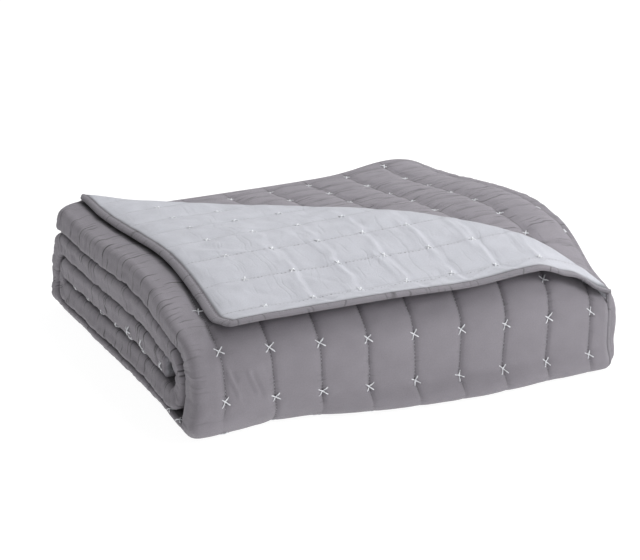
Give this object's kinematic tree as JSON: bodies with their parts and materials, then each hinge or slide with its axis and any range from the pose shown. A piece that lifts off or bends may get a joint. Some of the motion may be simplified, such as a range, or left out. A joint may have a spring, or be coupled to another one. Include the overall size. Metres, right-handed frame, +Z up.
{
  "type": "folded coverlet",
  "caption": "Square-quilted grey coverlet folded into a flat pack, with one corner turned back to show its pale reverse and its bound edges.",
  "frame": {"origin": "middle of the pack's footprint on the surface it rests on", "axes": "+X along the front fold to the right, +Y from the front fold to the back, +Z up through the layers"},
  "size_m": [0.4894, 0.4884, 0.1491],
  "materials": {
    "quilted_face": "soft washed quilted cotton, warm grey, matt",
    "reverse_cloth": "plain pale bluish white cotton, matt",
    "binding_tape": "plain grey cotton tape, matt"
  },
  "bodies": {
    "root": {"quilted_cloth": "quilted_face", "pale_reverse": "reverse_cloth", "binding_long_side": "binding_tape", "binding_end": "binding_tape"}
  },
  "joints": []
}
